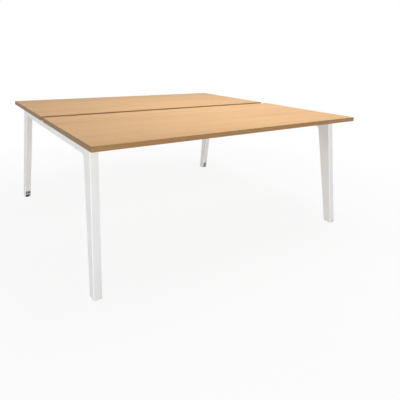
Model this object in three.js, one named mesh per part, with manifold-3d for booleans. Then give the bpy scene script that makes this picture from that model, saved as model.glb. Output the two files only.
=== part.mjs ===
// Benching desk for two: two tops, back to back with a gap between them, on two white end frames.
// Millimetres, +Z up. The origin is on the floor under the middle of the desk, X runs along the
// tops, and the near user sits on the -Y side. "left" is -X, "near" is -Y.

import * as THREE from 'three';
import { mergeVertices } from 'three/addons/utils/BufferGeometryUtils.js';
import Module from 'manifold-3d';

const wasm = await Module();
wasm.setup();

// Tops
const DESK_LENGTH = 1800;
const DESK_HEIGHT = 730;
const TOP_DEPTH = 800;
const TOP_GAP = 50;
const TOP_THICKNESS = 25;
const BAND_THICKNESS = 2;

// End frames: a cross beam and two legs that splay along Y and taper towards the floor
const END_INSET = 40;
const FRAME_WIDTH = 43;
const FRAME_WALL = 3;
const EDGE_RADIUS = 6;
const BEAM_HEIGHT = 62;
const SHOULDER_INSET = 131;
const FOOT_INSET = 70;
const LEG_TOP_WIDTH = 89;
const LEG_FOOT_WIDTH = 52;
const CORNER_RADIUS = 28;
const CORNER_LENGTH = 120;
const SPIGOT_LENGTH = 60;
const SPIGOT_ROOT = 10;
const SPIGOT_BITE = 1;
const FLOOR_GAP = 2;
const NOTCH_HEIGHT = 50;
const NOTCH_RADIUS = 8;
const NOTCH_LIP = 2;

// Levelling feet
const PAD_RADIUS = 17;
const PAD_RIM = 5;
const PAD_CHAMFER = 1;
const PAD_HEIGHT = 14;
const PAD_NECK_RADIUS = 9;
const SOCKET_DEPTH = 6;
const STUD_RADIUS = 4;
const HEX_FLATS = 17;
const HEX_HEIGHT = 8;
const FOOT_TRAVEL = 12;
const STUD_SPARE = 2;
const PLATE_THICKNESS = 6;
const BOSS_RADIUS = 8;
const BOSS_HEIGHT = 10;

// Rails between the end frames, one under each top
const RAIL_WIDTH = 30;
const RAIL_HEIGHT = 50;
const RAIL_WALL = 2;
const FLANGE_WIDTH = 90;
const FLANGE_HEIGHT = 44;
const FLANGE_THICKNESS = 5;
const BOLT_SPACING = 60;
const BOLT_RADIUS = 4;
const BOLT_REACH = 12;
const BOLT_HEAD_FLATS = 13;
const BOLT_HEAD_HEIGHT = 5.3;

// Angle cleats that hold the tops to the beams, two at each end of each top
const CLEAT_SPACING = 220;
const CLEAT_LENGTH = 60;
const CLEAT_REACH = 40;
const CLEAT_DROP = 32;
const CLEAT_THICKNESS = 3;

// Clearance between pieces that fit into each other, how far a cut runs past a face, and facets
const FIT = 0.3;
const CUT_MARGIN = 20;
const ROUND_SEGMENTS = 24;
const CURVE_SEGMENTS = 6;
const BEVEL_SEGMENTS = 4;
const HEX_SIDES = 6;

// Worked out from the sizes above
const deskDepth = 2 * TOP_DEPTH + TOP_GAP;
const topUnder = DESK_HEIGHT - TOP_THICKNESS;
const topCentre = (TOP_GAP + TOP_DEPTH) / 2;
const frameCentre = DESK_LENGTH / 2 - END_INSET - FRAME_WIDTH / 2;
const frameInner = frameCentre - FRAME_WIDTH / 2;
const beamUnder = topUnder - BEAM_HEIGHT;
const beamMiddle = topUnder - BEAM_HEIGHT / 2;
const cavityHalf = FRAME_WIDTH / 2 - FRAME_WALL;
const shoulderY = deskDepth / 2 - SHOULDER_INSET;
const footY = deskDepth / 2 - FOOT_INSET;
const seamY = shoulderY - CORNER_LENGTH;
const flangeInner = frameInner - FLANGE_THICKNESS;
const footAxis = footY - LEG_FOOT_WIDTH / 2;
const hexLow = PAD_HEIGHT + FIT;
const plateLow = hexLow + HEX_HEIGHT + FIT;
const plateHigh = plateLow + PLATE_THICKNESS;
const bossTop = plateHigh + BOSS_HEIGHT;

const ENDS = [{ name: 'left', sign: -1 }, { name: 'right', sign: 1 }];
const SIDES = [{ name: 'near', sign: -1 }, { name: 'far', sign: 1 }];
const PAIR = [{ name: 'a', sign: -1 }, { name: 'b', sign: 1 }];

const FINISHES = {
  beech: { color: 0xe4ba8e, roughness: 0.5, metalness: 0 },
  band: { color: 0xb08a5c, roughness: 0.5, metalness: 0 },
  white: { color: 0xeceeee, roughness: 0.45, metalness: 0 },
  zinc: { color: 0xb9bcbf, roughness: 0.35, metalness: 1 },
  pad: { color: 0x242526, roughness: 0.6, metalness: 0 },
};

const desk = new THREE.Group();

function add(name, geometry, finish) {
  const mesh = new THREE.Mesh(geometry, new THREE.MeshStandardMaterial(FINISHES[finish]));
  mesh.name = name;
  desk.add(mesh);
}

// A closed three.js geometry as a solid that can be joined and cut
function solid(geometry) {
  const bare = geometry.clone();
  bare.deleteAttribute('normal');
  bare.deleteAttribute('uv');
  const merged = mergeVertices(bare);
  const vertProperties = Float32Array.from(merged.attributes.position.array);
  const triVerts = Uint32Array.from(merged.index.array);
  return new wasm.Manifold(new wasm.Mesh({ numProp: 3, vertProperties, triVerts }));
}

function geometryOf(body) {
  const found = body.getMesh();
  const geometry = new THREE.BufferGeometry();
  geometry.setAttribute('position', new THREE.BufferAttribute(found.vertProperties, 3));
  geometry.setIndex(new THREE.BufferAttribute(found.triVerts, 1));
  geometry.computeVertexNormals();
  return geometry;
}

// A block between two opposite corners
function block(a, b) {
  const size = a.map((value, i) => Math.abs(b[i] - value));
  const centre = a.map((value, i) => (value + b[i]) / 2);
  return new THREE.BoxGeometry(...size).translate(...centre);
}

// An upright cylinder on the axis (0, y), between two levels
function post(radius, y, low, high, sides = ROUND_SEGMENTS) {
  const geometry = new THREE.CylinderGeometry(radius, radius, high - low, sides);
  return geometry.rotateX(Math.PI / 2).translate(0, y, (low + high) / 2);
}

// A lying cylinder along X, between two places
function pin(radius, y, z, x0, x1, sides = ROUND_SEGMENTS) {
  const geometry = new THREE.CylinderGeometry(radius, radius, Math.abs(x1 - x0), sides);
  return geometry.rotateZ(Math.PI / 2).translate((x0 + x1) / 2, y, z);
}

function hexRadius(flats) {
  return flats / Math.sqrt(3);
}

// A shape drawn in X and Z, drawn out along Y about the middle given
function alongY(shape, length, middle) {
  const geometry = new THREE.ExtrudeGeometry(shape, {
    depth: length,
    bevelEnabled: false,
    curveSegments: CURVE_SEGMENTS,
  });
  return geometry.rotateX(Math.PI / 2).translate(0, middle + length / 2, 0);
}

// Tops: a board with a band on each of its four edges
function top(side) {
  const outer = side.sign * deskDepth / 2;
  const inner = side.sign * TOP_GAP / 2;
  const boardOuter = outer - side.sign * BAND_THICKNESS;
  const boardInner = inner + side.sign * BAND_THICKNESS;
  const end = DESK_LENGTH / 2;
  const boardEnd = end - BAND_THICKNESS;
  const name = `top_${side.name}`;
  const board = block([-boardEnd, boardInner, topUnder], [boardEnd, boardOuter, DESK_HEIGHT]);
  add(`${name}_board`, board, 'beech');
  const front = block([-end, boardOuter, topUnder], [end, outer, DESK_HEIGHT]);
  add(`${name}_band_front`, front, 'band');
  const back = block([-end, inner, topUnder], [end, boardInner, DESK_HEIGHT]);
  add(`${name}_band_back`, back, 'band');
  for (const { name: where, sign } of ENDS) {
    const from = [sign * boardEnd, boardInner, topUnder];
    const to = [sign * end, boardOuter, DESK_HEIGHT];
    add(`${name}_band_${where}`, block(from, to), 'band');
  }
}

// How far out a leg's outer and inner edges stand at a height
function outerEdge(z) {
  return footY + (shoulderY - footY) * z / topUnder;
}

function innerEdge(z) {
  return outerEdge(z) - LEG_FOOT_WIDTH - (LEG_TOP_WIDTH - LEG_FOOT_WIDTH) * z / topUnder;
}

// The end frame's outline in Y and Z, drawn in by an inset, with its legs running on below the floor
function archShape(inset) {
  const low = -CUT_MARGIN - inset;
  const roof = topUnder - inset;
  const soffit = beamUnder + inset;
  const round = CORNER_RADIUS + inset;
  const outer = (z) => outerEdge(z) - inset;
  const inner = (z) => innerEdge(z) + inset;
  const shape = new THREE.Shape();
  shape.moveTo(-outer(low), low);
  shape.lineTo(-inner(low), low);
  shape.lineTo(-inner(soffit - round), soffit - round);
  shape.quadraticCurveTo(-inner(soffit), soffit, round - inner(soffit), soffit);
  shape.lineTo(inner(soffit) - round, soffit);
  shape.quadraticCurveTo(inner(soffit), soffit, inner(soffit - round), soffit - round);
  shape.lineTo(inner(low), low);
  shape.lineTo(outer(low), low);
  shape.lineTo(outer(roof), roof);
  shape.lineTo(-outer(roof), roof);
  return shape;
}

// That outline drawn out along X, with its edges rounded off by a radius
function arch(inset, width, radius) {
  const geometry = new THREE.ExtrudeGeometry(archShape(inset), {
    depth: width - 2 * radius,
    bevelEnabled: radius > 0,
    bevelThickness: radius,
    bevelSize: radius,
    bevelOffset: -radius,
    bevelSegments: BEVEL_SEGMENTS,
    curveSegments: CURVE_SEGMENTS,
  });
  geometry.translate(0, 0, radius - width / 2);
  const basis = new THREE.Matrix4().makeBasis(
    new THREE.Vector3(0, 1, 0),
    new THREE.Vector3(0, 0, 1),
    new THREE.Vector3(1, 0, 0),
  );
  return geometry.applyMatrix4(basis);
}

// The hollow frame of which the beam and the two legs are lengths
const frameOutside = solid(arch(0, FRAME_WIDTH, EDGE_RADIUS));
const frameInside = solid(arch(FRAME_WALL, 2 * cavityHalf, 0));
const frameShell = frameOutside.subtract(frameInside);

function beam(end) {
  const low = [-FRAME_WIDTH, -seamY, beamUnder - CUT_MARGIN];
  const high = [FRAME_WIDTH, seamY, topUnder + CUT_MARGIN];
  let body = frameShell.intersect(solid(block(low, high)));
  const wall = -end.sign * cavityHalf;
  const from = wall + end.sign * FRAME_WALL;
  const to = wall - end.sign * CUT_MARGIN;
  for (const side of SIDES) {
    for (const { sign } of PAIR) {
      const y = side.sign * topCentre + sign * BOLT_SPACING / 2;
      body = body.subtract(solid(pin(BOLT_RADIUS + FIT, y, beamMiddle, from, to)));
    }
  }
  add(`beam_${end.name}`, geometryOf(body).translate(end.sign * frameCentre, 0, 0), 'white');
}

// The block on a leg's corner that plugs into the beam, with its root inside the corner's walls
function spigot(side) {
  const bite = cavityHalf + SPIGOT_BITE;
  const plug = cavityHalf - FIT;
  const floor = beamUnder + FRAME_WALL;
  const roof = topUnder - FRAME_WALL;
  const near = side.sign * (seamY + FIT);
  const far = side.sign * (seamY + FIT + SPIGOT_ROOT);
  const tip = side.sign * (seamY - SPIGOT_LENGTH);
  const root = block([-bite, near, floor - SPIGOT_BITE], [bite, far, roof + SPIGOT_BITE]);
  const tongue = block([-plug, tip, floor + FIT], [plug, far, roof - FIT]);
  return solid(root).add(solid(tongue));
}

// The opening low in a leg's inner face, through which the foot is turned
function notch(side) {
  const half = cavityHalf - NOTCH_LIP;
  const low = -CUT_MARGIN;
  const spring = NOTCH_HEIGHT - NOTCH_RADIUS;
  const shape = new THREE.Shape();
  shape.moveTo(-half, low);
  shape.lineTo(half, low);
  shape.lineTo(half, spring);
  shape.absarc(half - NOTCH_RADIUS, spring, NOTCH_RADIUS, 0, Math.PI / 2);
  shape.absarc(NOTCH_RADIUS - half, spring, NOTCH_RADIUS, Math.PI / 2, Math.PI);
  const outside = innerEdge(NOTCH_HEIGHT) - CUT_MARGIN;
  const inside = innerEdge(0) + FRAME_WALL + FIT;
  return alongY(shape, inside - outside, side.sign * (inside + outside) / 2);
}

function leg(end, side) {
  const near = side.sign * (seamY + FIT);
  const far = side.sign * (footY + CUT_MARGIN);
  const low = [-FRAME_WIDTH, near, FLOOR_GAP];
  const high = [FRAME_WIDTH, far, topUnder + CUT_MARGIN];
  const shell = frameShell.intersect(solid(block(low, high)));
  const body = shell.add(spigot(side)).subtract(solid(notch(side)));
  const geometry = geometryOf(body).translate(end.sign * frameCentre, 0, 0);
  add(`leg_${end.name}_${side.name}`, geometry, 'white');
}

// Levelling feet: a plate fixed in the leg, a stud that screws through it and a pad on the stud
function footPlate(end, side) {
  const half = cavityHalf - FIT;
  const inner = side.sign * (innerEdge(plateLow) + FRAME_WALL + FIT);
  const outer = side.sign * (outerEdge(plateHigh) - FRAME_WALL - FIT);
  const axis = side.sign * footAxis;
  const plate = solid(block([-half, inner, plateLow], [half, outer, plateHigh]));
  const boss = solid(post(BOSS_RADIUS, axis, plateLow, bossTop));
  const hole = solid(post(STUD_RADIUS + FIT, axis, plateLow - CUT_MARGIN, bossTop + CUT_MARGIN));
  const geometry = geometryOf(plate.add(boss).subtract(hole));
  geometry.translate(end.sign * frameCentre, 0, 0);
  add(`foot_plate_${end.name}_${side.name}`, geometry, 'zinc');
}

function footStud(end, side) {
  const axis = side.sign * footAxis;
  const low = PAD_HEIGHT - SOCKET_DEPTH + FIT;
  const high = bossTop + FOOT_TRAVEL + STUD_SPARE;
  const rod = solid(post(STUD_RADIUS, axis, low, high));
  const crown = hexLow + HEX_HEIGHT;
  const hex = solid(post(hexRadius(HEX_FLATS), axis, hexLow, crown, HEX_SIDES));
  const geometry = geometryOf(rod.add(hex)).translate(end.sign * frameCentre, 0, 0);
  add(`foot_stud_${end.name}_${side.name}`, geometry, 'zinc');
}

function footPad(end, side) {
  const socket = STUD_RADIUS + FIT;
  const floor = PAD_HEIGHT - SOCKET_DEPTH;
  const outline = [
    [0, 0],
    [PAD_RADIUS - PAD_CHAMFER, 0],
    [PAD_RADIUS, PAD_CHAMFER],
    [PAD_RADIUS, PAD_RIM],
    [PAD_NECK_RADIUS, PAD_HEIGHT],
    [socket, PAD_HEIGHT],
    [socket, floor],
    [0, floor],
  ];
  const points = outline.map(([radius, z]) => new THREE.Vector2(radius, z));
  const geometry = new THREE.LatheGeometry(points, ROUND_SEGMENTS).rotateX(Math.PI / 2);
  geometry.translate(end.sign * frameCentre, side.sign * footAxis, 0);
  add(`foot_pad_${end.name}_${side.name}`, geometry, 'pad');
}

// Rails: a tube under the middle of each top, with a flange on each end bolted to the beam
function rail(side) {
  const y = side.sign * topCentre;
  const half = RAIL_WIDTH / 2;
  const bore = half - RAIL_WALL;
  const past = flangeInner + CUT_MARGIN;
  const low = topUnder - RAIL_HEIGHT;
  const tube = block([-flangeInner, y - half, low], [flangeInner, y + half, topUnder]);
  const hollow = block([-past, y - bore, low + RAIL_WALL], [past, y + bore, topUnder - RAIL_WALL]);
  add(`rail_${side.name}`, geometryOf(solid(tube).subtract(solid(hollow))), 'white');
}

function railFlange(end, side) {
  const y = side.sign * topCentre;
  const low = beamMiddle - FLANGE_HEIGHT / 2;
  const high = beamMiddle + FLANGE_HEIGHT / 2;
  const from = [end.sign * flangeInner, y - FLANGE_WIDTH / 2, low];
  const to = [end.sign * frameInner, y + FLANGE_WIDTH / 2, high];
  let body = solid(block(from, to));
  const x0 = end.sign * (flangeInner - CUT_MARGIN);
  const x1 = end.sign * (frameInner + CUT_MARGIN);
  for (const { sign } of PAIR) {
    const at = y + sign * BOLT_SPACING / 2;
    body = body.subtract(solid(pin(BOLT_RADIUS + FIT, at, beamMiddle, x0, x1)));
  }
  add(`rail_flange_${end.name}_${side.name}`, geometryOf(body), 'white');
}

function railBolt(end, side, one) {
  const y = side.sign * topCentre + one.sign * BOLT_SPACING / 2;
  const seat = end.sign * flangeInner;
  const crown = end.sign * (flangeInner - BOLT_HEAD_HEIGHT);
  const tip = end.sign * (frameInner + BOLT_REACH);
  const shank = solid(pin(BOLT_RADIUS, y, beamMiddle, crown, tip));
  const radius = hexRadius(BOLT_HEAD_FLATS);
  const head = solid(pin(radius, y, beamMiddle, crown, seat, HEX_SIDES));
  add(`rail_bolt_${end.name}_${side.name}_${one.name}`, geometryOf(shank.add(head)), 'zinc');
}

// Cleats: an angle with one leg on the beam's inner face and the other under the top
function cleat(end, side, one) {
  const y = side.sign * topCentre + one.sign * CLEAT_SPACING / 2;
  const x = (reach) => end.sign * (frameInner - reach);
  const shape = new THREE.Shape();
  shape.moveTo(x(0), topUnder);
  shape.lineTo(x(CLEAT_REACH), topUnder);
  shape.lineTo(x(CLEAT_REACH), topUnder - CLEAT_THICKNESS);
  shape.lineTo(x(CLEAT_THICKNESS), topUnder - CLEAT_THICKNESS);
  shape.lineTo(x(CLEAT_THICKNESS), topUnder - CLEAT_DROP);
  shape.lineTo(x(0), topUnder - CLEAT_DROP);
  const name = `top_cleat_${end.name}_${side.name}_${one.name}`;
  add(name, alongY(shape, CLEAT_LENGTH, y), 'white');
}

for (const side of SIDES) {
  top(side);
  rail(side);
}
for (const end of ENDS) {
  beam(end);
  for (const side of SIDES) {
    leg(end, side);
    footPlate(end, side);
    footStud(end, side);
    footPad(end, side);
    railFlange(end, side);
    for (const one of PAIR) {
      railBolt(end, side, one);
      cleat(end, side, one);
    }
  }
}

export default desk;
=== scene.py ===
import math

import bmesh
import bpy
from mathutils import Matrix, Vector

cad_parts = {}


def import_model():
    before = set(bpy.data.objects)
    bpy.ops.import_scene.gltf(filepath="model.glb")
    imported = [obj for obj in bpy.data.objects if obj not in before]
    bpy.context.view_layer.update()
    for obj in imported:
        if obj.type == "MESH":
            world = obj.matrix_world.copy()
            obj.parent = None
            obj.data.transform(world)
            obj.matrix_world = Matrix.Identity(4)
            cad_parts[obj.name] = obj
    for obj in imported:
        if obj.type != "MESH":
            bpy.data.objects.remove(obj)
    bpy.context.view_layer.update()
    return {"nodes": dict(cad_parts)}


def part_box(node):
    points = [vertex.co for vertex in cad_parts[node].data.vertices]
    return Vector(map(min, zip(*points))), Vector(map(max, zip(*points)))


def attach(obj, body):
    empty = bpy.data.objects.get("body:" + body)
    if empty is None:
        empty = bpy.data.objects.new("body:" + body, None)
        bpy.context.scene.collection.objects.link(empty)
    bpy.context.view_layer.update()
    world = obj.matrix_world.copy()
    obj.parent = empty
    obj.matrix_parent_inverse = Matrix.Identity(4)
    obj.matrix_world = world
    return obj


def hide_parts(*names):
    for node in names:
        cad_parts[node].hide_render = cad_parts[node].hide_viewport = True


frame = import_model()
nodes = frame["nodes"]

MM = 0.001
QUARTER = math.pi / 2
ENDS = {"left": -1, "right": 1}
SIDES = {"near": -1, "far": 1}
PAIR = {"a": -1, "b": 1}

# Camera: a lens of F_PX pixels in a 400-pixel frame, and where the picture's optical centre lies
FRAME_PX = 400
SENSOR = 36.0
F_PX = 391.7
CENTRE_PX = (176.0, 90.0)
CAMERA_AT = (-1.4602, -2.3465, 1.1215)
CAMERA_AZIMUTH = -32.486
CAMERA_ELEVATION = 5.336
CAMERA_ROLL = 1.31
CAMERA_CLIP = (0.05, 200.0)

# Shading: angles in degrees above which an edge stays sharp, and how much large faces steer the normals
PIECE_ANGLE = 35.0
WELD_ANGLE = 60.0
FRAME_ANGLE = 32
NORMAL_WEIGHT = 80
MERGE_DISTANCE = 0.00001

# Tops, rails and cleats, in millimetres
BAND_ROUND = 1.2
TUBE_ROUND = 4.0
TUBE_WALL = 2.0
FLANGE_ROUND = 7.0
PLATE_ROUND = 0.6
CLEAT_THICK = 3.0
CLEAT_CORNER = 6.0
BEND_INNER = 2.0
BEND_STEPS = 5

# Weld beads: a rippled quarter circle, sunk a little into the tube, thinner at the ends of a straight bead
WELD_SIZE = 2.6
WELD_SINK = 0.5
WELD_RIPPLE = 0.10
WELD_POINTS = 4
WELD_RINGS = 21
WELD_END_SHARE = 0.35
WELD_GROWTH = 6

# Rail bolts, in millimetres, with the crown's rings as shares of half the flats and depths
ROUND_COUNT = 48
BOLT_FLATS = 13.0
BOLT_SEAT = 5.3
BOLT_SHANK = 4.0
BOLT_TIP = 3.2
BOLT_TIP_LENGTH = 0.8
BOLT_SKIRT = 8.6
SKIRT_EDGE = 0.7
SKIRT_SLOPE = 0.9
SKIRT_HEIGHT = 1.3
BOLT_CROWN = ((0.93, 0.0), (0.70, 0.0), (0.64, 0.25))
BOLT_TURN = 17

# Screw heads: radius, height, width and depth of the socket, in millimetres, and shares of these
TOP_HEAD = (4.2, 2.4, 4.0, 1.6)
LOCK_HEAD = (5.2, 2.8, 4.0, 2.0)
SHANK_SHARE = 0.45
SHANK_REACH = 3.0
RIM_SHARE = 0.12
FLAT_SHARE = 0.75
DOME_STEPS = 5

# Where the screws sit: along a cleat and in from its free edge in metres, back from a beam's end in millimetres
TOP_SCREWS = {"1": -0.018, "2": 0.018}
TOP_SCREW_INSET = 0.014
TOP_SCREW_TURN = 36.0
LOCK_SCREWS = {"1": 18.0, "2": 42.0}
LOCK_SCREW_TURN = 0.3

# Hexagons: how far the chamfer eases the edge, its slope, and the flat face's share of the width
HEX_EASE = 0.15
HEX_DROP = 0.5
HEX_FACE = 0.95

# Levelling studs, in millimetres, with the heights of the hexagon's two faces
STUD_COUNT = 36
STUD_ROOT = 3.4
STUD_CREST = 3.95
STUD_PITCH = 1.25
STUD_TIP = 3.3
STUD_TIP_LENGTH = 0.6
STUD_END = 0.5
STUD_HEX = (14.3, 22.3)
HEX_FLATS = 17.0
HEX_LOW_EDGE = 0.3
THREAD_STEPS = 8
THREAD_START = 0.2
THREAD_STOP = 0.6
TOOTH_TOP = 1.35
TOOTH_SLOPE = 2.7

# Pads, in millimetres: insets from the rim and heights, the same with depths below the top, and the bore
PAD_COUNT = 64
PAD_SKIRT = (
    (5.0, 0.6), (4.2, 0.0), (1.2, 0.0), (0.4, 0.3), (0.0, 1.1), (0.0, 4.2),
    (0.3, 4.8), (1.0, 5.3), (4.5, 9.2), (6.6, 11.4), (7.6, 12.8),
)
PAD_NECK = ((8.0, 0.4), (8.4, 0.0))
PAD_BORE = ((4.6, 0.0), (4.3, 0.3), (4.3, 6.0))

# Floor, in metres, and the strips of its grid that cross at the feet
FLOOR_REACH = 60.0
FLOOR_OPENING = 0.07
FLOOR_COLOUR = (0.86, 0.86, 0.86, 1)
FLOOR_FADE = (1.0, 2.8, 0.90, 1.0)
FLOOR_CLEARANCE = 0.0005
FOOT_STRIPS = (1, 3)
FOOT_TRAVEL = 0.012

# Light: the sky's strength from its horizon up, and lamps by place, aim, size and watts
SKY = (0.02, 0.32, 3.20, 0.27)
LAMPS = {
    "key": ((0.5, -0.3, 2.75), (0.5, -0.3, 0.7), 1.6, 40),
    "front": ((0.2, -4.6, 1.2), (0.0, 0.0, 0.4), 2.2, 10),
    "low": ((-4.2, -4.0, 0.7), (0.2, 0.0, 0.35), 1.2, 52),
}


def linear(red, green, blue):
    """A colour from 0 to 255 as the linear values that a shader takes."""
    def one(value):
        value /= 255
        return value / 12.92 if value <= 0.04045 else ((value + 0.055) / 1.055) ** 2.4
    return (one(red), one(green), one(blue), 1.0)


# Node helpers

def math_node(tree, operation, *values):
    made = tree.nodes.new("ShaderNodeMath")
    made.operation = operation
    for value, socket in zip(values, made.inputs):
        tree.links.new(value, socket)
    return made.outputs[0]


def map_range(tree, value, numbers, smooth=False):
    """Carries a value from one range to another: numbers holds both ends of the first, then of the second."""
    made = tree.nodes.new("ShaderNodeMapRange")
    if smooth:
        made.interpolation_type = "SMOOTHSTEP"
    for key, number in zip(("From Min", "From Max", "To Min", "To Max"), numbers):
        made.inputs[key].default_value = number
    tree.links.new(value, made.inputs["Value"])
    return made.outputs["Result"]


# Materials

class Shader:
    """A material on the main shader, with short ways to add texture nodes."""

    def __init__(self, name):
        self.material = bpy.data.materials.new(name)
        self.material.use_nodes = True
        self.tree = self.material.node_tree
        self.main = self.tree.nodes["Principled BSDF"]

    def node(self, kind, **values):
        made = self.tree.nodes.new(kind)
        for key, value in values.items():
            setattr(made, key, value)
        return made

    def link(self, a, b):
        self.tree.links.new(a, b)

    def place(self, scale, offset):
        where = self.node("ShaderNodeTexCoord")
        mapping = self.node("ShaderNodeMapping")
        mapping.inputs["Scale"].default_value = scale
        mapping.inputs["Location"].default_value = offset
        self.link(where.outputs["Object"], mapping.inputs["Vector"])
        return mapping.outputs["Vector"]

    def noise(self, scale, detail=4.0, rough=0.55, offset=(0, 0, 0), distortion=0.0):
        made = self.node("ShaderNodeTexNoise")
        made.inputs["Scale"].default_value = 1.0
        made.inputs["Detail"].default_value = detail
        made.inputs["Roughness"].default_value = rough
        made.inputs["Distortion"].default_value = distortion
        self.link(self.place(scale, offset), made.inputs["Vector"])
        return made.outputs["Fac"]

    def ramp(self, value, stops):
        made = self.node("ShaderNodeValToRGB")
        points = made.color_ramp.elements
        while len(points) < len(stops):
            points.new(0.5)
        for point, (at, colour) in zip(points, stops):
            point.position = at
            point.color = colour
        self.link(value, made.inputs["Fac"])
        return made.outputs["Color"]

    def spread(self, value, *numbers):
        return map_range(self.tree, value, numbers)

    def mix(self, kind, factor, a, b):
        made = self.node("ShaderNodeMix", data_type="RGBA", blend_type=kind)
        self.link(factor, made.inputs["Factor"])
        for value, socket in ((a, made.inputs[6]), (b, made.inputs[7])):
            if isinstance(value, tuple):
                socket.default_value = value
            else:
                self.link(value, socket)
        return made.outputs[2]

    def edges(self, radius):
        """1 along the rounded-off edges of a piece, 0 on its flat faces."""
        bevel = self.node("ShaderNodeBevel", samples=4)
        bevel.inputs["Radius"].default_value = radius
        shape = self.node("ShaderNodeNewGeometry")
        dot = self.node("ShaderNodeVectorMath", operation="DOT_PRODUCT")
        self.link(bevel.outputs["Normal"], dot.inputs[0])
        self.link(shape.outputs["Normal"], dot.inputs[1])
        return self.spread(dot.outputs["Value"], 0.99, 0.80, 0.0, 1.0)

    def highlight_rims(self):
        """1 on edges rounded between an end face, square to X, and its neighbours, 0 on flat faces: where the
        coat's painted highlight goes.
        """
        shape = self.node("ShaderNodeNewGeometry")
        split = self.node("ShaderNodeSeparateXYZ")
        self.link(shape.outputs["Normal"], split.inputs[0])
        size = math_node(self.tree, "ABSOLUTE", split.outputs["X"])
        black, white = (0, 0, 0, 1), (1, 1, 1, 1)
        return self.ramp(size, [(0.15, black), (0.50, white), (0.86, white), (0.985, black)])

    def bump(self, height, strength, distance):
        made = self.node("ShaderNodeBump")
        made.inputs["Strength"].default_value = strength
        made.inputs["Distance"].default_value = distance
        self.link(height, made.inputs["Height"])
        self.link(made.outputs["Normal"], self.main.inputs["Normal"])


def beech():
    """Melamine board with a printed beech grain along X: broad straight bands, fine lines and short flecks."""
    s = Shader("beech_melamine")
    broad = s.noise((0.55, 9.0, 9.0), detail=5.0, rough=0.6, distortion=0.25)
    tone = s.ramp(broad, [
        (0.30, linear(216, 173, 125)),
        (0.50, linear(223, 181, 133)),
        (0.72, linear(230, 189, 142)),
    ])
    lines = s.noise((2.2, 160.0, 160.0), detail=6.0, rough=0.65, offset=(3.1, 0.4, 0.0))
    tone = s.mix("MULTIPLY", s.spread(lines, 0.38, 0.62, 0.55, 0.0), tone, linear(238, 230, 222))
    flecks = s.noise((120.0, 1050.0, 1050.0), detail=1.0, rough=0.4, offset=(0.0, 7.3, 0.0))
    marks = s.spread(flecks, 0.60, 0.68, 0.0, 0.75)
    tone = s.mix("MIX", marks, tone, linear(196, 146, 98))
    s.link(tone, s.main.inputs["Base Color"])
    s.link(s.spread(lines, 0.3, 0.7, 0.52, 0.62), s.main.inputs["Roughness"])
    s.main.inputs["Specular IOR Level"].default_value = 0.08
    s.bump(s.mix("MIX", marks, lines, (0.2, 0.2, 0.2, 1.0)), 0.10, 0.0003)
    return s.material


def band(name, axis, dark, middle, pale):
    """Plastic edging printed with a grain that runs along the edge, worn a little paler on its rounded corners."""
    s = Shader(name)
    fine, coarse = 520.0, 3.0
    scale = [fine, fine, fine]
    scale[axis] = coarse
    grain = s.noise(tuple(scale), detail=5.0, rough=0.6)
    tone = s.ramp(grain, [(0.30, dark), (0.52, middle), (0.75, pale)])
    wear = s.edges(0.0012)
    tone = s.mix("MIX", s.spread(wear, 0.0, 1.0, 0.0, 0.35), tone, linear(196, 158, 112))
    s.link(tone, s.main.inputs["Base Color"])
    s.link(s.spread(grain, 0.3, 0.7, 0.46, 0.58), s.main.inputs["Roughness"])
    s.main.inputs["Specular IOR Level"].default_value = 0.2
    s.bump(grain, 0.08, 0.0002)
    return s.material


def powder_coat():
    """White powder coat: a fine pebbled skin, a faint mottle, and a painted highlight along its rounded edges,
    mixed towards near white.
    """
    s = Shader("white_powder_coat")
    mottle = s.noise((5.0, 5.0, 5.0), detail=3.0)
    tone = s.ramp(mottle, [
        (0.30, linear(231, 232, 232)),
        (0.70, linear(236, 237, 237)),
    ])
    # Painted highlight: the rounded edges are mixed towards near white, standing in for light caught along them.
    tone = s.mix("MIX", s.highlight_rims(), tone, linear(252, 252, 252))
    s.link(tone, s.main.inputs["Base Color"])
    pebble = s.noise((900.0, 900.0, 900.0), detail=2.0, rough=0.5)
    s.link(s.spread(pebble, 0.3, 0.7, 0.38, 0.50), s.main.inputs["Roughness"])
    s.main.inputs["Specular IOR Level"].default_value = 0.45
    s.bump(pebble, 0.12, 0.0002)
    return s.material


def zinc():
    """Zinc plating, a little dulled, with a cloudy tone and fine turning marks."""
    s = Shader("zinc_plate")
    cloud = s.noise((260.0, 260.0, 260.0), detail=4.0, rough=0.6)
    tone = s.ramp(cloud, [
        (0.30, linear(196, 199, 201)),
        (0.70, linear(218, 220, 221)),
    ])
    s.link(tone, s.main.inputs["Base Color"])
    s.main.inputs["Metallic"].default_value = 0.45
    marks = s.noise((60.0, 60.0, 3200.0), detail=3.0)
    s.link(s.spread(marks, 0.3, 0.7, 0.34, 0.52), s.main.inputs["Roughness"])
    s.bump(marks, 0.10, 0.0001)
    return s.material


def black_plastic():
    """Moulded black plastic with a fine spark texture, greyer along its edges."""
    s = Shader("black_plastic")
    spark = s.noise((1500.0, 1500.0, 1500.0), detail=2.0)
    tone = s.ramp(spark, [
        (0.30, linear(56, 57, 58)),
        (0.70, linear(72, 73, 74)),
    ])
    wear = s.edges(0.0015)
    scuff = s.noise((180.0, 180.0, 180.0), detail=4.0)
    tone = s.mix("MIX", s.spread(wear, 0.0, 1.0, 0.0, 0.45), tone, linear(112, 112, 112))
    s.link(tone, s.main.inputs["Base Color"])
    s.link(s.spread(scuff, 0.3, 0.7, 0.46, 0.62), s.main.inputs["Roughness"])
    s.bump(spark, 0.15, 0.0002)
    return s.material


BEECH = beech()
BAND_X = band("edge_band_long", 0, linear(152, 116, 74), linear(163, 126, 83), linear(175, 139, 95))
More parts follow.
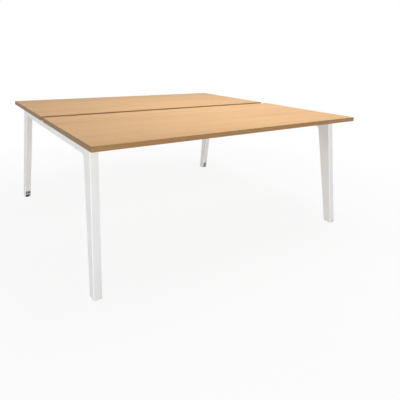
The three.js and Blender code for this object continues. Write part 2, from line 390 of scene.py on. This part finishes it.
# End bands: grain along Y, and tones darker than the long bands', a painted shade for ends that catch less light.
BAND_END_SHADED = band("edge_band_end_shaded", 1, linear(132, 101, 64), linear(142, 110, 72), linear(154, 122, 84))
COAT = powder_coat()
ZINC = zinc()
BLACK = black_plastic()


# Mesh helpers

def add(name, data):
    made = bpy.data.objects.new(name, data)
    bpy.context.scene.collection.objects.link(made)
    return made


def even_faces(made):
    """Lets large flat faces keep their own direction where smooth shading meets them."""
    weighted = made.modifiers.new("Even faces", "WEIGHTED_NORMAL")
    weighted.keep_sharp = True
    weighted.weight = NORMAL_WEIGHT


def loft(rings, closed=False):
    """A closed skin through rings of points, each ring with as many points as the next."""
    bm = bmesh.new()
    made = [[bm.verts.new(p) for p in ring] for ring in rings]
    after = made[1:] + (made[:1] if closed else [])
    for a, b in zip(made, after):
        for i in range(len(a)):
            j = (i + 1) % len(a)
            bm.faces.new((a[i], a[j], b[j], b[i]))
    if not closed:
        bm.faces.new(made[0])
        bm.faces.new(made[-1])
    bmesh.ops.recalc_face_normals(bm, faces=bm.faces)
    return bm


def piece(name, bm, material, body, slot, *replaced, angle=PIECE_ANGLE):
    """Turns a bmesh into a smooth-shaded piece that rides on a body."""
    mesh = bpy.data.meshes.new(name)
    limit = math.radians(angle)
    for edge in bm.edges:
        edge.smooth = len(edge.link_faces) == 2 and edge.calc_face_angle(0.0) < limit
    for face in bm.faces:
        face.smooth = True
    bm.to_mesh(mesh)
    bm.free()
    mesh.materials.append(material)
    made = add(name, mesh)
    even_faces(made)
    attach(made, body)
    if replaced:
        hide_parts(*replaced)


def circle(radius, z, count):
    turn = 2 * math.pi / count
    return [Vector((radius * math.cos(i * turn), radius * math.sin(i * turn), z)) for i in range(count)]


def lathe(outline, count):
    """Rings for a turned shape, from its radii and heights in millimetres."""
    return [circle(radius * MM, z * MM, count) for radius, z in outline]


def moved(rings, matrix):
    return [[matrix @ p for p in ring] for ring in rings]


def rounded(width, height, radius, steps=5):
    """A rectangle with round corners about the origin, as points in order."""
    points = []
    for k, (sx, sy) in enumerate(((1, 1), (-1, 1), (-1, -1), (1, -1))):
        cx, cy = sx * (width / 2 - radius), sy * (height / 2 - radius)
        for i in range(steps + 1):
            a = QUARTER * (k + i / steps)
            points.append((cx + radius * math.cos(a), cy + radius * math.sin(a)))
    return points


def block(low, high):
    bm = bmesh.new()
    bmesh.ops.create_cube(bm, size=1.0)
    for v in bm.verts:
        v.co = Vector(low[i] + (high[i] - low[i]) * (v.co[i] + 0.5) for i in range(3))
    return bm


def on_plane(edge, axis, at):
    return all(abs(v.co[axis] - at) < 1e-6 for v in edge.verts)


def along(edge, axis):
    a, b = (v.co for v in edge.verts)
    return all(abs(a[i] - b[i]) < 1e-6 for i in range(3) if i != axis)


def round_edges(bm, edges, radius, steps):
    bmesh.ops.bevel(bm, geom=edges, offset=radius, segments=steps, profile=0.5, affect="EDGES")


# Solids of the frame that stay in sight, with a material of their own

def smooth_tree():
    """Joins a solid's loose facets and shades it smooth, apart from its sharp edges."""
    tree = bpy.data.node_groups.new("Smooth frame", "GeometryNodeTree")
    tree.interface.new_socket("Geometry", in_out="INPUT", socket_type="NodeSocketGeometry")
    tree.interface.new_socket("Geometry", in_out="OUTPUT", socket_type="NodeSocketGeometry")
    start = tree.nodes.new("NodeGroupInput")
    end = tree.nodes.new("NodeGroupOutput")
    merge = tree.nodes.new("GeometryNodeMergeByDistance")
    merge.inputs["Distance"].default_value = MERGE_DISTANCE
    faces = tree.nodes.new("GeometryNodeSetShadeSmooth")
    faces.domain = "FACE"
    angle = tree.nodes.new("GeometryNodeInputMeshEdgeAngle")
    sharp = tree.nodes.new("FunctionNodeCompare")
    sharp.operation = "LESS_THAN"
    sharp.inputs["B"].default_value = math.radians(FRAME_ANGLE)
    edges = tree.nodes.new("GeometryNodeSetShadeSmooth")
    edges.domain = "EDGE"
    tree.links.new(start.outputs[0], merge.inputs["Geometry"])
    tree.links.new(merge.outputs["Geometry"], faces.inputs["Geometry"])
    tree.links.new(faces.outputs["Geometry"], edges.inputs["Geometry"])
    tree.links.new(angle.outputs["Unsigned Angle"], sharp.inputs["A"])
    tree.links.new(sharp.outputs["Result"], edges.inputs["Shade Smooth"])
    tree.links.new(edges.outputs["Geometry"], end.inputs[0])
    return tree


SMOOTH = smooth_tree()


def dress(node, material, smooth):
    made = nodes[node]
    made.material_slots[0].link = "OBJECT"
    made.material_slots[0].material = material
    if smooth:
        made.modifiers.new("Smooth", "NODES").node_group = SMOOTH
        even_faces(made)


# The tops' edge bands, with their outer edges rounded over

def edge_band(side, where):
    node = f"top_{side}_band_{where}"
    low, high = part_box(node)
    runs = 0 if where in ("front", "back") else 1
    across = 1 - runs
    if where in ENDS:
        sign = ENDS[where]
    else:
        sign = SIDES[side] * (1 if where == "front" else -1)
    outer = high[across] if sign > 0 else low[across]
    bm = block(low, high)
    chosen = [e for e in bm.edges if on_plane(e, across, outer) and (runs == 0 or along(e, runs))]
    if runs == 0:
        chosen += [e for e in bm.edges if along(e, across)]
    round_edges(bm, chosen, BAND_ROUND * MM, 4)
    piece(f"band_{side}_{where}", bm, BAND_X if runs == 0 else BAND_END_SHADED, "desk", "edge_band", node)


# Rails: round-cornered tube, with a flange welded on each end

def ripple(i):
    """How much a weld bead swells at its ring number i."""
    return 1 + WELD_RIPPLE * math.cos(math.pi * i)


def rail(side):
    low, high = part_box(f"rail_{side}")
    y, z = (low.y + high.y) / 2, (low.z + high.z) / 2
    width, height = high.y - low.y, high.z - low.z
    wall = TUBE_WALL * MM
    outside = rounded(width, height, TUBE_ROUND * MM)
    inside = rounded(width - 2 * wall, height - 2 * wall, (TUBE_ROUND - TUBE_WALL) * MM)
    rings = []
    for x, shape in ((low.x, outside), (high.x, outside), (high.x, inside), (low.x, inside)):
        rings.append([Vector((x, y + u, z + v)) for u, v in shape])
    piece(f"rail_tube_{side}", loft(rings, closed=True), COAT, "desk", "white_powder_coat", f"rail_{side}")
    path = rounded(width, height, TUBE_ROUND * MM, steps=6)
    for end, sign in ENDS.items():
        x = high.x if sign > 0 else low.x
        rings = []
        for i, (u, v) in enumerate(path):
            size = WELD_SIZE * MM * ripple(i)
            bu, bv = path[i - 1]
            fu, fv = path[(i + 1) % len(path)]
            away = Vector((0, fv - bv, -(fu - bu))).normalized()
            at = Vector((x, y + u, z + v))
            ring = [at - away * WELD_SINK * MM]
            for k in range(WELD_POINTS):
                a = QUARTER * k / (WELD_POINTS - 1)
                ring.append(at + away * size * math.cos(a) - Vector((sign, 0, 0)) * size * math.sin(a))
            rings.append(ring)
        bead = loft(rings, closed=True)
        piece(f"weld_rail_{end}_{side}", bead, COAT, "desk", "white_powder_coat", angle=WELD_ANGLE)


def flange(end, side):
    node = f"rail_flange_{end}_{side}"
    low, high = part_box(node)
    bm = block(low, high)
    round_edges(bm, [e for e in bm.edges if along(e, 0)], FLANGE_ROUND * MM, 6)
    shown = low.x if ENDS[end] > 0 else high.x
    round_edges(bm, [e for e in bm.edges if on_plane(e, 0, shown)], PLATE_ROUND * MM, 2)
    piece(f"flange_{end}_{side}", bm, COAT, "desk", "white_powder_coat", node)


def hexagon(flats, z, count):
    """A hexagon as a ring of points."""
    ring = []
    for i in range(count):
        a = 2 * math.pi * i / count
        off = (a + math.pi / 6) % (math.pi / 3) - math.pi / 6
        radius = flats / 2 / math.cos(off)
        ring.append(Vector((radius * math.cos(a) * MM, radius * math.sin(a) * MM, z * MM)))
    return ring


def chamfered(flats, z, drop, count):
    """The edge of a hexagon's end face: its corners lie further back than the middles of its sides."""
    ring = []
    for p in hexagon(flats, 0, count):
        over = math.hypot(p.x, p.y) / MM - flats / 2
        ring.append(Vector((p.x, p.y, (z - HEX_EASE - over * drop) * MM)))
    return ring


def bolt(end, side, which):
    node = f"rail_bolt_{end}_{side}_{which}"
    low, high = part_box(node)
    sign = ENDS[end]
    crown, tip = (low.x, high.x) if sign > 0 else (high.x, low.x)
    y, z = (low.y + high.y) / 2, (low.z + high.z) / 2
    reach = abs(tip - crown) / MM
    rings = lathe([
        (BOLT_TIP, reach),
        (BOLT_SHANK, reach - BOLT_TIP_LENGTH),
        (BOLT_SHANK, BOLT_SEAT),
        (BOLT_SKIRT, BOLT_SEAT),
        (BOLT_SKIRT, BOLT_SEAT - SKIRT_EDGE),
        (BOLT_SKIRT - SKIRT_SLOPE, BOLT_SEAT - SKIRT_HEIGHT),
    ], ROUND_COUNT)
    rings.append(hexagon(BOLT_FLATS, BOLT_SEAT - SKIRT_HEIGHT, ROUND_COUNT))
    rings.append(chamfered(BOLT_FLATS, 0, -HEX_DROP, ROUND_COUNT))
    rings += lathe([(BOLT_FLATS / 2 * share, depth) for share, depth in BOLT_CROWN], ROUND_COUNT)
    lay = Matrix.Rotation(math.radians(90 * sign), 4, "Y")
    turn = Matrix.Rotation(math.radians(BOLT_TURN * PAIR[which]), 4, "Z")
    place = Matrix.Translation((crown, y, z)) @ (lay @ turn)
    piece(f"bolt_{end}_{side}_{which}", loft(moved(rings, place)), ZINC, "desk", "zinc_plate", node)


# Cleats: a bent angle with rounded corners, two screws up into the board and a weld along its foot

def screw_head(radius, height, socket, depth):
    """A domed head with a six-sided socket, from its seat at 0 down to -height, with a stub of its shank."""
    flat = socket * FLAT_SHARE
    outline = [
        (radius * SHANK_SHARE, SHANK_REACH),
        (radius * SHANK_SHARE, 0.0),
        (radius, 0.0),
        (radius, -RIM_SHARE * height),
    ]
    for k in range(1, DOME_STEPS):
        a = QUARTER * k / DOME_STEPS
        sink = RIM_SHARE + (1 - RIM_SHARE) * math.sin(a)
        outline.append((flat + (radius - flat) * math.cos(a), -sink * height))
    outline.append((flat, -height))
    sockets = [hexagon(socket, z, ROUND_COUNT) for z in (-height, depth - height)]
    return lathe(outline, ROUND_COUNT) + sockets


def cleat(end, side, which):
    node = f"top_cleat_{end}_{side}_{which}"
    low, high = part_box(node)
    sign = ENDS[end]
    wall, free = (high.x, low.x) if sign > 0 else (low.x, high.x)
    thick = CLEAT_THICK * MM
    bend = BEND_INNER * MM
    inner = []
    outer = []
    corner = Vector((wall - sign * (thick + bend), 0, high.z - thick - bend))
    for i in range(BEND_STEPS + 1):
        a = QUARTER * i / BEND_STEPS
        way = Vector((sign * math.cos(a), 0, math.sin(a)))
        inner.append(corner + way * bend)
        outer.append(corner + way * (bend + thick))
    shape = [Vector((wall, 0, low.z))] + outer + [Vector((free, 0, high.z))]
    shape += [Vector((free, 0, high.z - thick))] + inner[::-1] + [Vector((wall - sign * thick, 0, low.z))]
    bm = loft([[p + Vector((0, y, 0)) for p in shape] for y in (low.y, high.y)])
    ends = [e for e in bm.edges if along(e, 2) and on_plane(e, 0, free)]
    feet = [e for e in bm.edges if along(e, 0) and on_plane(e, 2, low.z)]
    round_edges(bm, ends + feet, CLEAT_CORNER * MM, 5)
    piece(f"cleat_{end}_{side}_{which}", bm, COAT, "desk", "white_powder_coat", node)
    for number, off in TOP_SCREWS.items():
        y = (low.y + high.y) / 2 + off
        place = Matrix.Translation((free + sign * TOP_SCREW_INSET, y, high.z - thick))
        place = place @ Matrix.Rotation(TOP_SCREW_TURN * y, 4, "Z")
        head = loft(moved(screw_head(*TOP_HEAD), place))
        piece(f"screw_top_{end}_{side}_{which}{number}", head, ZINC, "desk", "zinc_plate")
    rings = []
    for i in range(WELD_RINGS):
        t = i / (WELD_RINGS - 1)
        y = low.y + CLEAT_CORNER * MM + (high.y - low.y - 2 * CLEAT_CORNER * MM) * t
        taper = min(1.0, WELD_END_SHARE + WELD_GROWTH * min(t, 1 - t))
        size = WELD_SIZE * MM * (taper * ripple(i))
        ring = [Vector((wall, y, low.z))]
        for k in range(WELD_POINTS):
            a = QUARTER * k / (WELD_POINTS - 1)
            ring.append(Vector((wall - sign * size * math.sin(a), y, low.z - size * math.cos(a))))
        rings.append(ring)
    piece(f"weld_cleat_{end}_{side}_{which}", loft(rings), COAT, "desk", "white_powder_coat", angle=WELD_ANGLE)


# Screws that lock the plug-in corners, two under each end of each beam

def lock_screws(end, side):
    low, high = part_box(f"beam_{end}")
    x = (low.x + high.x) / 2
    seam = high.y if SIDES[side] > 0 else low.y
    for number, back in LOCK_SCREWS.items():
        at = (x, seam - SIDES[side] * back * MM, low.z)
        place = Matrix.Translation(at) @ Matrix.Rotation(LOCK_SCREW_TURN * back, 4, "Z")
        head = loft(moved(screw_head(*LOCK_HEAD), place))
        piece(f"screw_frame_{end}_{side}_{number}", head, ZINC, "desk", "zinc_plate")


# Levelling feet: a moulded pad, and a threaded stud with a hexagon to turn it by

def pad(end, side):
    node = f"foot_pad_{end}_{side}"
    low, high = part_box(node)
    at = Matrix.Translation(((low.x + high.x) / 2, (low.y + high.y) / 2, low.z))
    tall = (high.z - low.z) / MM
    wide = (high.x - low.x) / 2 / MM
    outline = [(wide - inset, z) for inset, z in PAD_SKIRT]
    outline += [(wide - inset, tall - depth) for inset, depth in PAD_NECK]
    outline += [(radius, tall - depth) for radius, depth in PAD_BORE]
    bm = loft(moved(lathe(outline, PAD_COUNT), at))
    piece(f"pad_{end}_{side}", bm, BLACK, f"pad_{end}_{side}", "black_plastic", node)


def thread(bottom, crown):
    """Rings that rise round a thread, which fades in above the hexagon and out below the stud's end."""
    rings = []
    level = bottom + THREAD_START
    while level < crown - THREAD_STOP:
        fade = min(1.0, (level - bottom) / STUD_PITCH, (crown - level) / STUD_PITCH)
        ring = []
        for i in range(STUD_COUNT):
            phase = (level / STUD_PITCH + i / STUD_COUNT) % 1.0
            tooth = max(0.0, min(1.0, TOOTH_TOP - TOOTH_SLOPE * abs(phase - 0.5)))
            radius = STUD_ROOT + (STUD_CREST - STUD_ROOT) * tooth * fade
            a = 2 * math.pi * i / STUD_COUNT
            ring.append(Vector((radius * math.cos(a) * MM, radius * math.sin(a) * MM, level * MM)))
        rings.append(ring)
        level += STUD_PITCH / THREAD_STEPS
    return rings


def stud(end, side):
    node = f"foot_stud_{end}_{side}"
    low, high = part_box(node)
    at = Matrix.Translation(((low.x + high.x) / 2, (low.y + high.y) / 2, 0))
    hex_low, hex_high = STUD_HEX
    face = HEX_FLATS / 2 * HEX_FACE
    bottom, crown = low.z / MM, high.z / MM
    rings = lathe([
        (STUD_TIP, bottom),
        (STUD_CREST, bottom + STUD_TIP_LENGTH),
        (STUD_CREST, hex_low),
        (face, hex_low),
    ], STUD_COUNT)
    rings.append(chamfered(HEX_FLATS, hex_low + HEX_LOW_EDGE, -HEX_DROP, STUD_COUNT))
    rings.append(chamfered(HEX_FLATS, hex_high, HEX_DROP, STUD_COUNT))
    rings += lathe([(face, hex_high), (STUD_ROOT, hex_high)], STUD_COUNT)
    rings += thread(hex_high, crown)
    rings += lathe([(STUD_ROOT, crown - STUD_END), (STUD_ROOT - STUD_END, crown)], STUD_COUNT)
    piece(f"stud_{end}_{side}", loft(moved(rings, at)), ZINC, f"stud_{end}_{side}", "zinc_plate", node)


for side in SIDES:
    for where in ("front", "back", "left", "right"):
        edge_band(side, where)
    dress(f"top_{side}_board", BEECH, False)
for end in ENDS:
    dress(f"beam_{end}", COAT, True)
    for side in SIDES:
        dress(f"leg_{end}_{side}", COAT, True)
        dress(f"foot_plate_{end}_{side}", ZINC, True)
for side in SIDES:
    rail(side)
for end in ENDS:
    for side in SIDES:
        flange(end, side)
        pad(end, side)
        stud(end, side)
        lock_screws(end, side)
        for which in PAIR:
            bolt(end, side, which)
            cleat(end, side, which)


# Floor, light and camera

def seen_directly(tree):
    """1 for rays from the camera, from mirrors and through glass, 0 for rays that only bring light."""
    rays = tree.nodes.new("ShaderNodeLightPath").outputs
    first = math_node(tree, "MAXIMUM", rays["Is Camera Ray"], rays["Is Glossy Ray"])
    return math_node(tree, "MAXIMUM", first, rays["Is Transmission Ray"])


def mix_shader(tree, factor, first, second):
    made = tree.nodes.new("ShaderNodeMixShader")
    for value, socket in zip((factor, first, second), made.inputs):
        tree.links.new(value, socket)
    return made.outputs[0]


def floor_material():
    """Near white to the camera, with the desk's shadow kept as a soft grey.

    It is whiter with distance, and clear from below.
    """
    material = bpy.data.materials.new("floor")
    material.use_nodes = True
    tree = material.node_tree
    tree.nodes.clear()
    out = tree.nodes.new("ShaderNodeOutputMaterial")
    diffuse = tree.nodes.new("ShaderNodeBsdfDiffuse")
    diffuse.inputs["Color"].default_value = FLOOR_COLOUR
    white = tree.nodes.new("ShaderNodeEmission")
    clear = tree.nodes.new("ShaderNodeBsdfTransparent")
    shape = tree.nodes.new("ShaderNodeNewGeometry")
    away = tree.nodes.new("ShaderNodeVectorMath")
    away.operation = "LENGTH"
    tree.links.new(shape.outputs["Position"], away.inputs[0])
    fade = map_range(tree, away.outputs["Value"], FLOOR_FADE, smooth=True)
    share = math_node(tree, "MULTIPLY", seen_directly(tree), fade)
    lit = mix_shader(tree, share, diffuse.outputs[0], white.outputs[0])
    above = mix_shader(tree, shape.outputs["Backfacing"], lit, clear.outputs[0])
    tree.links.new(above, out.inputs["Surface"])
    return material


def floor(name, level, breaks_x, breaks_y, material):
    """A flat floor of rectangles between the breaks, left open where the feet's strips cross."""
    mesh = bpy.data.meshes.new(name)
    wide = len(breaks_x)
    points = [(x, y, level) for y in breaks_y for x in breaks_x]
    faces = []
    for j in range(len(breaks_y) - 1):
        for i in range(wide - 1):
            if i not in FOOT_STRIPS or j not in FOOT_STRIPS:
                at = j * wide + i
                faces.append((at, at + 1, at + 1 + wide, at + wide))
    mesh.from_pydata(points, [], faces)
    mesh.materials.append(material)
    add(name, mesh)


def floors():
    """The floor, opened round each foot, and a lower one under the openings for feet that are screwed out."""
    low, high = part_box("foot_pad_right_far")
    material = floor_material()
    breaks = []
    for middle in ((low + high) / 2)[:2]:
        inner, outer = middle - FLOOR_OPENING, middle + FLOOR_OPENING
        breaks.append((-FLOOR_REACH, -outer, -inner, inner, outer, FLOOR_REACH))
    floor("floor", 0.0, *breaks, material)
    whole = (-FLOOR_REACH, FLOOR_REACH)
    floor("floor_low", -FOOT_TRAVEL - FLOOR_CLEARANCE, whole, whole, material)


def world():
    """Studio light from all round, strongest near the horizon, seen as plain white."""
    made = bpy.data.worlds.new("studio")
    bpy.context.scene.world = made
    made.use_nodes = True
    tree = made.node_tree
    tree.nodes.clear()
    out = tree.nodes.new("ShaderNodeOutputWorld")
    light = tree.nodes.new("ShaderNodeBackground")
    light.inputs["Color"].default_value = (1, 1, 1, 1)
    way = tree.nodes.new("ShaderNodeTexCoord")
    split = tree.nodes.new("ShaderNodeSeparateXYZ")
    tree.links.new(way.outputs["Generated"], split.inputs[0])
    height = math_node(tree, "ABSOLUTE", split.outputs["Z"])
    tree.links.new(map_range(tree, height, SKY, smooth=True), light.inputs["Strength"])
    white = tree.nodes.new("ShaderNodeBackground")
    white.inputs["Color"].default_value = (1, 1, 1, 1)
    white.inputs["Strength"].default_value = 1.0
    seen = mix_shader(tree, seen_directly(tree), light.outputs[0], white.outputs[0])
    tree.links.new(seen, out.inputs["Surface"])


def lamp(name, at, aim, size, watts):
    data = bpy.data.lights.new(name, "AREA")
    data.shape = "DISK"
    data.size = size
    data.energy = watts
    made = add(name, data)
    made.location = at
    made.rotation_euler = (Vector(aim) - Vector(at)).to_track_quat("-Z", "Y").to_euler()
    made.visible_glossy = False


def camera():
    data = bpy.data.cameras.new("camera")
    data.sensor_width = SENSOR
    data.lens = F_PX / FRAME_PX * SENSOR
    data.shift_x = (FRAME_PX / 2 - CENTRE_PX[0]) / FRAME_PX
    data.shift_y = (CENTRE_PX[1] - FRAME_PX / 2) / FRAME_PX
    data.clip_start, data.clip_end = CAMERA_CLIP
    made = add("camera", data)
    a, e, r = (math.radians(v) for v in (CAMERA_AZIMUTH, CAMERA_ELEVATION, CAMERA_ROLL))
    back = Vector((math.sin(a) * math.cos(e), -math.cos(a) * math.cos(e), math.sin(e)))
    right = Vector((math.cos(a), math.sin(a), 0))
    up = back.cross(right)
    turned = right * math.cos(r) + up * math.sin(r)
    risen = up * math.cos(r) - right * math.sin(r)
    pose = Matrix((turned, risen, back)).transposed().to_4x4()
    pose.translation = Vector(CAMERA_AT)
    made.matrix_world = pose
    bpy.context.scene.camera = made


floors()
world()
for name, values in LAMPS.items():
    lamp(name, *values)
camera()
bpy.context.scene.view_settings.view_transform = "Standard"
